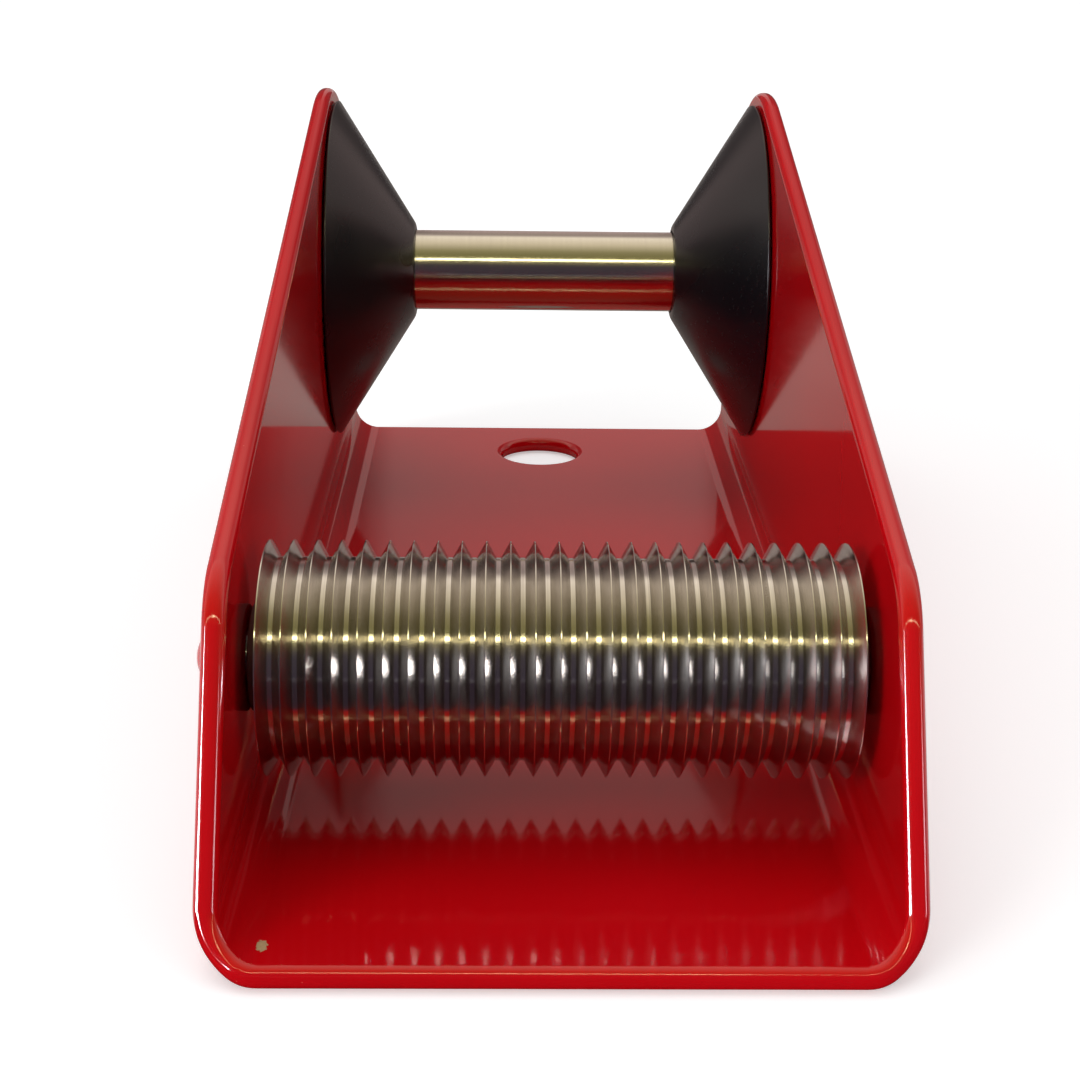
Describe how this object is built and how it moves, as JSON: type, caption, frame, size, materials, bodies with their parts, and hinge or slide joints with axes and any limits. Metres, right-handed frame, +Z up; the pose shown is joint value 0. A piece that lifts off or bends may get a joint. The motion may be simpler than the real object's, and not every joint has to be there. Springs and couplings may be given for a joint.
{
  "type": "roller bracket",
  "caption": "Folded steel channel bracket with a free-turning grooved roller in front and two facing cones on a cross tube behind, to centre and guide a line, strip or roll.",
  "frame": {"origin": "on the ground plane, under the middle of the floor plate", "axes": "+Y from the grooved roller's open end to the cones, +Z up from the floor plate, +X to the right seen from the grooved roller"},
  "size_m": [0.0954, 0.21, 0.0808],
  "materials": {
    "red_paint": "high gloss",
    "turned_steel": "bright turned",
    "black_satin": "satin black",
    "axle_steel": "ground",
    "washer_steel": "zinc plated",
    "spring_steel": "black oxide",
    "bronze": "oiled bearing bronze"
  },
  "bodies": {
    "frame": {"bracket": "red_paint", "roller_axle": "axle_steel", "roller_outer_washer_left": "washer_steel", "roller_outer_washer_right": "washer_steel", "roller_e_clip_left": "spring_steel", "roller_e_clip_right": "spring_steel", "roller_thrust_washer_left": "black_satin", "roller_thrust_washer_right": "black_satin", "cone_axle": "axle_steel", "cone_outer_washer_left": "washer_steel", "cone_outer_washer_right": "washer_steel", "cone_e_clip_left": "spring_steel", "cone_e_clip_right": "spring_steel"},
    "front_roller": {"grooved_roller": "turned_steel", "roller_bush_left": "bronze", "roller_bush_right": "bronze"},
    "cone_roller": {"cross_tube": "turned_steel", "cone_left": "black_satin", "cone_right": "black_satin", "cone_bush_left": "bronze", "cone_bush_right": "bronze"}
  },
  "joints": [
    {"name": "roller_spin", "type": "hinge", "parent": "frame", "child": "front_roller", "pos_m": [0, -0.0641, 0.024], "axis": [1, 0, 0], "continuous": true},
    {"name": "cone_spin", "type": "hinge", "parent": "frame", "child": "cone_roller", "pos_m": [0, 0.0693, 0.0463], "axis": [1, 0, 0], "continuous": true}
  ]
}
